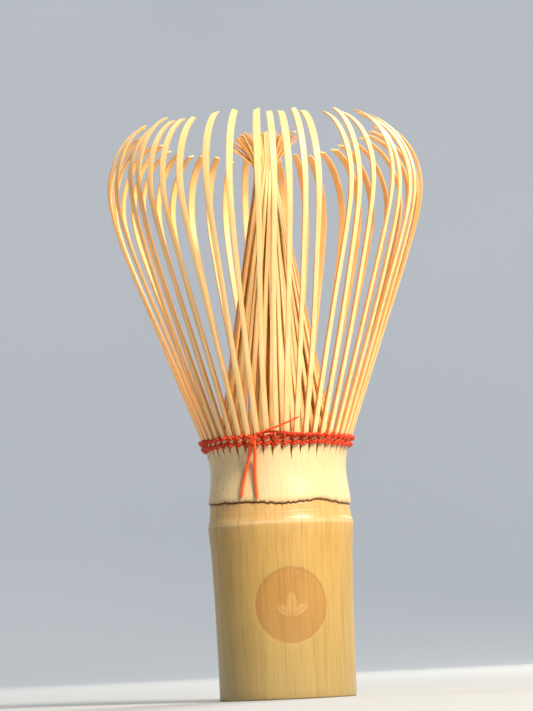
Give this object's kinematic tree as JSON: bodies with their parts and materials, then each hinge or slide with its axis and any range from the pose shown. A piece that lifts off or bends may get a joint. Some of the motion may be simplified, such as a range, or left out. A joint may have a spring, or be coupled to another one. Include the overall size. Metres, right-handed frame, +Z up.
{
  "type": "bamboo tea whisk",
  "caption": "Bamboo tea whisk: hollow culm handle with a node, shaved collar, flared ring of springy split tines, gathered inner bunch and woven thread binding.",
  "frame": {"origin": "middle of the handle's flat foot", "axes": "+Z up the whisk's axis from the foot to the tines' tips; -Y is the front, where the thread's knot hangs"},
  "size_m": [0.059, 0.059, 0.1072],
  "materials": {
    "culm": "aged bamboo culm skin, dry and fine-grained, satin",
    "outer_splits": "pale shaved bamboo, thin and slightly translucent, orange-brown along the edges",
    "inner_splits": "pale shaved inner bamboo, twisted and dry",
    "thread": "twisted two-ply cotton thread, dyed red"
  },
  "bodies": {
    "handle": {"handle": "culm", "thread_lower_row": "thread", "thread_upper_row": "thread", "thread_knot": "thread", "thread_tail_left": "thread", "thread_tail_right": "thread", "thread_loose_end": "thread"},
    "outer_tine_01": {"outer_tine_01": "outer_splits"},
    "outer_tine_02": {"outer_tine_02": "outer_splits"},
    "outer_tine_03": {"outer_tine_03": "outer_splits"},
    "outer_tine_04": {"outer_tine_04": "outer_splits"},
    "outer_tine_05": {"outer_tine_05": "outer_splits"},
    "outer_tine_06": {"outer_tine_06": "outer_splits"},
    "outer_tine_07": {"outer_tine_07": "outer_splits"},
    "outer_tine_08": {"outer_tine_08": "outer_splits"},
    "outer_tine_09": {"outer_tine_09": "outer_splits"},
    "outer_tine_10": {"outer_tine_10": "outer_splits"},
    "outer_tine_11": {"outer_tine_11": "outer_splits"},
    "outer_tine_12": {"outer_tine_12": "outer_splits"},
    "outer_tine_13": {"outer_tine_13": "outer_splits"},
    "outer_tine_14": {"outer_tine_14": "outer_splits"},
    "outer_tine_15": {"outer_tine_15": "outer_splits"},
    "outer_tine_16": {"outer_tine_16": "outer_splits"},
    "outer_tine_17": {"outer_tine_17": "outer_splits"},
    "outer_tine_18": {"outer_tine_18": "outer_splits"},
    "outer_tine_19": {"outer_tine_19": "outer_splits"},
    "outer_tine_20": {"outer_tine_20": "outer_splits"},
    "outer_tine_21": {"outer_tine_21": "outer_splits"},
    "outer_tine_22": {"outer_tine_22": "outer_splits"},
    "outer_tine_23": {"outer_tine_23": "outer_splits"},
    "outer_tine_24": {"outer_tine_24": "outer_splits"},
    "outer_tine_25": {"outer_tine_25": "outer_splits"},
    "outer_tine_26": {"outer_tine_26": "outer_splits"},
    "outer_tine_27": {"outer_tine_27": "outer_splits"},
    "outer_tine_28": {"outer_tine_28": "outer_splits"},
    "outer_tine_29": {"outer_tine_29": "outer_splits"},
    "outer_tine_30": {"outer_tine_30": "outer_splits"},
    "outer_tine_31": {"outer_tine_31": "outer_splits"},
    "outer_tine_32": {"outer_tine_32": "outer_splits"},
    "outer_tine_33": {"outer_tine_33": "outer_splits"},
    "outer_tine_34": {"outer_tine_34": "outer_splits"},
    "outer_tine_35": {"outer_tine_35": "outer_splits"},
    "outer_tine_36": {"outer_tine_36": "outer_splits"},
    "outer_tine_37": {"outer_tine_37": "outer_splits"},
    "outer_tine_38": {"outer_tine_38": "outer_splits"},
    "outer_tine_39": {"outer_tine_39": "outer_splits"},
    "outer_tine_40": {"outer_tine_40": "outer_splits"},
    "outer_tine_41": {"outer_tine_41": "outer_splits"},
    "outer_tine_42": {"outer_tine_42": "outer_splits"},
    "outer_tine_43": {"outer_tine_43": "outer_splits"},
    "outer_tine_44": {"outer_tine_44": "outer_splits"},
    "outer_tine_45": {"outer_tine_45": "outer_splits"},
    "outer_tine_46": {"outer_tine_46": "outer_splits"},
    "outer_tine_47": {"outer_tine_47": "outer_splits"},
    "outer_tine_48": {"outer_tine_48": "outer_splits"},
    "inner_tines": {"inner_tines_1": "inner_splits", "inner_tines_2": "inner_splits", "inner_tines_3": "inner_splits", "inner_tines_4": "inner_splits"}
  },
  "joints": [
    {"name": "outer_tine_01_flex", "type": "hinge", "parent": "handle", "child": "outer_tine_01", "pos_m": [0, -0.0132, 0.047], "axis": [-1, 0, 0], "range_deg": [-5, 7], "stiffness_Nm_per_rad": 0.002},
    {"name": "outer_tine_02_flex", "type": "hinge", "parent": "handle", "child": "outer_tine_02", "pos_m": [0.00172, -0.01308, 0.047], "axis": [-0.9914, -0.1305, 0], "range_deg": [-5, 7], "stiffness_Nm_per_rad": 0.002},
    {"name": "outer_tine_03_flex", "type": "hinge", "parent": "handle", "child": "outer_tine_03", "pos_m": [0.00342, -0.01274, 0.047], "axis": [-0.9659, -0.2588, 0], "range_deg": [-5, 7], "stiffness_Nm_per_rad": 0.002},
    {"name": "outer_tine_04_flex", "type": "hinge", "parent": "handle", "child": "outer_tine_04", "pos_m": [0.00505, -0.01219, 0.047], "axis": [-0.9239, -0.3827, 0], "range_deg": [-5, 7], "stiffness_Nm_per_rad": 0.002},
    {"name": "outer_tine_05_flex", "type": "hinge", "parent": "handle", "child": "outer_tine_05", "pos_m": [0.0066, -0.01143, 0.047], "axis": [-0.866, -0.5, 0], "range_deg": [-5, 7], "stiffness_Nm_per_rad": 0.002},
    {"name": "outer_tine_06_flex", "type": "hinge", "parent": "handle", "child": "outer_tine_06", "pos_m": [0.00803, -0.01047, 0.047], "axis": [-0.7934, -0.6088, 0], "range_deg": [-5, 7], "stiffness_Nm_per_rad": 0.002},
    {"name": "outer_tine_07_flex", "type": "hinge", "parent": "handle", "child": "outer_tine_07", "pos_m": [0.00933, -0.00933, 0.047], "axis": [-0.7071, -0.7071, 0], "range_deg": [-5, 7], "stiffness_Nm_per_rad": 0.002},
    {"name": "outer_tine_08_flex", "type": "hinge", "parent": "handle", "child": "outer_tine_08", "pos_m": [0.01047, -0.00803, 0.047], "axis": [-0.6088, -0.7934, 0], "range_deg": [-5, 7], "stiffness_Nm_per_rad": 0.002},
    {"name": "outer_tine_09_flex", "type": "hinge", "parent": "handle", "child": "outer_tine_09", "pos_m": [0.01143, -0.0066, 0.047], "axis": [-0.5, -0.866, 0], "range_deg": [-5, 7], "stiffness_Nm_per_rad": 0.002},
    {"name": "outer_tine_10_flex", "type": "hinge", "parent": "handle", "child": "outer_tine_10", "pos_m": [0.01219, -0.00505, 0.047], "axis": [-0.3827, -0.9239, 0], "range_deg": [-5, 7], "stiffness_Nm_per_rad": 0.002},
    {"name": "outer_tine_11_flex", "type": "hinge", "parent": "handle", "child": "outer_tine_11", "pos_m": [0.01274, -0.00342, 0.047], "axis": [-0.2588, -0.9659, 0], "range_deg": [-5, 7], "stiffness_Nm_per_rad": 0.002},
    {"name": "outer_tine_12_flex", "type": "hinge", "parent": "handle", "child": "outer_tine_12", "pos_m": [0.01308, -0.00172, 0.047], "axis": [-0.1305, -0.9914, 0], "range_deg": [-5, 7], "stiffness_Nm_per_rad": 0.002},
    {"name": "outer_tine_13_flex", "type": "hinge", "parent": "handle", "child": "outer_tine_13", "pos_m": [0.0132, 0, 0.047], "axis": [0, -1, 0], "range_deg": [-5, 7], "stiffness_Nm_per_rad": 0.002},
    {"name": "outer_tine_14_flex", "type": "hinge", "parent": "handle", "child": "outer_tine_14", "pos_m": [0.01308, 0.00172, 0.047], "axis": [0.1305, -0.9914, 0], "range_deg": [-5, 7], "stiffness_Nm_per_rad": 0.002},
    {"name": "outer_tine_15_flex", "type": "hinge", "parent": "handle", "child": "outer_tine_15", "pos_m": [0.01274, 0.00342, 0.047], "axis": [0.2588, -0.9659, 0], "range_deg": [-5, 7], "stiffness_Nm_per_rad": 0.002},
    {"name": "outer_tine_16_flex", "type": "hinge", "parent": "handle", "child": "outer_tine_16", "pos_m": [0.01219, 0.00505, 0.047], "axis": [0.3827, -0.9239, 0], "range_deg": [-5, 7], "stiffness_Nm_per_rad": 0.002},
    {"name": "outer_tine_17_flex", "type": "hinge", "parent": "handle", "child": "outer_tine_17", "pos_m": [0.01143, 0.0066, 0.047], "axis": [0.5, -0.866, 0], "range_deg": [-5, 7], "stiffness_Nm_per_rad": 0.002},
    {"name": "outer_tine_18_flex", "type": "hinge", "parent": "handle", "child": "outer_tine_18", "pos_m": [0.01047, 0.00803, 0.047], "axis": [0.6088, -0.7934, 0], "range_deg": [-5, 7], "stiffness_Nm_per_rad": 0.002},
    {"name": "outer_tine_19_flex", "type": "hinge", "parent": "handle", "child": "outer_tine_19", "pos_m": [0.00933, 0.00933, 0.047], "axis": [0.7071, -0.7071, 0], "range_deg": [-5, 7], "stiffness_Nm_per_rad": 0.002},
    {"name": "outer_tine_20_flex", "type": "hinge", "parent": "handle", "child": "outer_tine_20", "pos_m": [0.00803, 0.01047, 0.047], "axis": [0.7934, -0.6088, 0], "range_deg": [-5, 7], "stiffness_Nm_per_rad": 0.002},
    {"name": "outer_tine_21_flex", "type": "hinge", "parent": "handle", "child": "outer_tine_21", "pos_m": [0.0066, 0.01143, 0.047], "axis": [0.866, -0.5, 0], "range_deg": [-5, 7], "stiffness_Nm_per_rad": 0.002},
    {"name": "outer_tine_22_flex", "type": "hinge", "parent": "handle", "child": "outer_tine_22", "pos_m": [0.00505, 0.01219, 0.047], "axis": [0.9239, -0.3827, 0], "range_deg": [-5, 7], "stiffness_Nm_per_rad": 0.002},
    {"name": "outer_tine_23_flex", "type": "hinge", "parent": "handle", "child": "outer_tine_23", "pos_m": [0.00342, 0.01274, 0.047], "axis": [0.9659, -0.2588, 0], "range_deg": [-5, 7], "stiffness_Nm_per_rad": 0.002},
    {"name": "outer_tine_24_flex", "type": "hinge", "parent": "handle", "child": "outer_tine_24", "pos_m": [0.00172, 0.01308, 0.047], "axis": [0.9914, -0.1305, 0], "range_deg": [-5, 7], "stiffness_Nm_per_rad": 0.002},
    {"name": "outer_tine_25_flex", "type": "hinge", "parent": "handle", "child": "outer_tine_25", "pos_m": [0, 0.0132, 0.047], "axis": [1, 0, 0], "range_deg": [-5, 7], "stiffness_Nm_per_rad": 0.002},
    {"name": "outer_tine_26_flex", "type": "hinge", "parent": "handle", "child": "outer_tine_26", "pos_m": [-0.00172, 0.01308, 0.047], "axis": [0.9914, 0.1305, 0], "range_deg": [-5, 7], "stiffness_Nm_per_rad": 0.002},
    {"name": "outer_tine_27_flex", "type": "hinge", "parent": "handle", "child": "outer_tine_27", "pos_m": [-0.00342, 0.01274, 0.047], "axis": [0.9659, 0.2588, 0], "range_deg": [-5, 7], "stiffness_Nm_per_rad": 0.002},
    {"name": "outer_tine_28_flex", "type": "hinge", "parent": "handle", "child": "outer_tine_28", "pos_m": [-0.00505, 0.01219, 0.047], "axis": [0.9239, 0.3827, 0], "range_deg": [-5, 7], "stiffness_Nm_per_rad": 0.002},
    {"name": "outer_tine_29_flex", "type": "hinge", "parent": "handle", "child": "outer_tine_29", "pos_m": [-0.0066, 0.01143, 0.047], "axis": [0.866, 0.5, 0], "range_deg": [-5, 7], "stiffness_Nm_per_rad": 0.002},
    {"name": "outer_tine_30_flex", "type": "hinge", "parent": "handle", "child": "outer_tine_30", "pos_m": [-0.00803, 0.01047, 0.047], "axis": [0.7934, 0.6088, 0], "range_deg": [-5, 7], "stiffness_Nm_per_rad": 0.002},
    {"name": "outer_tine_31_flex", "type": "hinge", "parent": "handle", "child": "outer_tine_31", "pos_m": [-0.00933, 0.00933, 0.047], "axis": [0.7071, 0.7071, 0], "range_deg": [-5, 7], "stiffness_Nm_per_rad": 0.002},
    {"name": "outer_tine_32_flex", "type": "hinge", "parent": "handle", "child": "outer_tine_32", "pos_m": [-0.01047, 0.00803, 0.047], "axis": [0.6088, 0.7934, 0], "range_deg": [-5, 7], "stiffness_Nm_per_rad": 0.002},
    {"name": "outer_tine_33_flex", "type": "hinge", "parent": "handle", "child": "outer_tine_33", "pos_m": [-0.01143, 0.0066, 0.047], "axis": [0.5, 0.866, 0], "range_deg": [-5, 7], "stiffness_Nm_per_rad": 0.002},
    {"name": "outer_tine_34_flex", "type": "hinge", "parent": "handle", "child": "outer_tine_34", "pos_m": [-0.01219, 0.00505, 0.047], "axis": [0.3827, 0.9239, 0], "range_deg": [-5, 7], "stiffness_Nm_per_rad": 0.002},
    {"name": "outer_tine_35_flex", "type": "hinge", "parent": "handle", "child": "outer_tine_35", "pos_m": [-0.01274, 0.00342, 0.047], "axis": [0.2588, 0.9659, 0], "range_deg": [-5, 7], "stiffness_Nm_per_rad": 0.002},
    {"name": "outer_tine_36_flex", "type": "hinge", "parent": "handle", "child": "outer_tine_36", "pos_m": [-0.01308, 0.00172, 0.047], "axis": [0.1305, 0.9914, 0], "range_deg": [-5, 7], "stiffness_Nm_per_rad": 0.002},
    {"name": "outer_tine_37_flex", "type": "hinge", "parent": "handle", "child": "outer_tine_37", "pos_m": [-0.0132, 0, 0.047], "axis": [0, 1, 0], "range_deg": [-5, 7], "stiffness_Nm_per_rad": 0.002},
    {"name": "outer_tine_38_flex", "type": "hinge", "parent": "handle", "child": "outer_tine_38", "pos_m": [-0.01308, -0.00172, 0.047], "axis": [-0.1305, 0.9914, 0], "range_deg": [-5, 7], "stiffness_Nm_per_rad": 0.002},
    {"name": "outer_tine_39_flex", "type": "hinge", "parent": "handle", "child": "outer_tine_39", "pos_m": [-0.01274, -0.00342, 0.047], "axis": [-0.2588, 0.9659, 0], "range_deg": [-5, 7], "stiffness_Nm_per_rad": 0.002},
    {"name": "outer_tine_40_flex", "type": "hinge", "parent": "handle", "child": "outer_tine_40", "pos_m": [-0.01219, -0.00505, 0.047], "axis": [-0.3827, 0.9239, 0], "range_deg": [-5, 7], "stiffness_Nm_per_rad": 0.002},
    {"name": "outer_tine_41_flex", "type": "hinge", "parent": "handle", "child": "outer_tine_41", "pos_m": [-0.01143, -0.0066, 0.047], "axis": [-0.5, 0.866, 0], "range_deg": [-5, 7], "stiffness_Nm_per_rad": 0.002},
    {"name": "outer_tine_42_flex", "type": "hinge", "parent": "handle", "child": "outer_tine_42", "pos_m": [-0.01047, -0.00803, 0.047], "axis": [-0.6088, 0.7934, 0], "range_deg": [-5, 7], "stiffness_Nm_per_rad": 0.002},
    {"name": "outer_tine_43_flex", "type": "hinge", "parent": "handle", "child": "outer_tine_43", "pos_m": [-0.00933, -0.00933, 0.047], "axis": [-0.7071, 0.7071, 0], "range_deg": [-5, 7], "stiffness_Nm_per_rad": 0.002},
    {"name": "outer_tine_44_flex", "type": "hinge", "parent": "handle", "child": "outer_tine_44", "pos_m": [-0.00803, -0.01047, 0.047], "axis": [-0.7934, 0.6088, 0], "range_deg": [-5, 7], "stiffness_Nm_per_rad": 0.002},
    {"name": "outer_tine_45_flex", "type": "hinge", "parent": "handle", "child": "outer_tine_45", "pos_m": [-0.0066, -0.01143, 0.047], "axis": [-0.866, 0.5, 0], "range_deg": [-5, 7], "stiffness_Nm_per_rad": 0.002},
    {"name": "outer_tine_46_flex", "type": "hinge", "parent": "handle", "child": "outer_tine_46", "pos_m": [-0.00505, -0.01219, 0.047], "axis": [-0.9239, 0.3827, 0], "range_deg": [-5, 7], "stiffness_Nm_per_rad": 0.002},
    {"name": "outer_tine_47_flex", "type": "hinge", "parent": "handle", "child": "outer_tine_47", "pos_m": [-0.00342, -0.01274, 0.047], "axis": [-0.9659, 0.2588, 0], "range_deg": [-5, 7], "stiffness_Nm_per_rad": 0.002},
    {"name": "outer_tine_48_flex", "type": "hinge", "parent": "handle", "child": "outer_tine_48", "pos_m": [-0.00172, -0.01308, 0.047], "axis": [-0.9914, 0.1305, 0], "range_deg": [-5, 7], "stiffness_Nm_per_rad": 0.002},
    {"name": "inner_sway", "type": "hinge", "parent": "handle", "child": "inner_tines", "pos_m": [0, 0, 0.047], "axis": [0, 1, 0], "range_deg": [-5, 5], "stiffness_Nm_per_rad": 0.02}
  ]
}
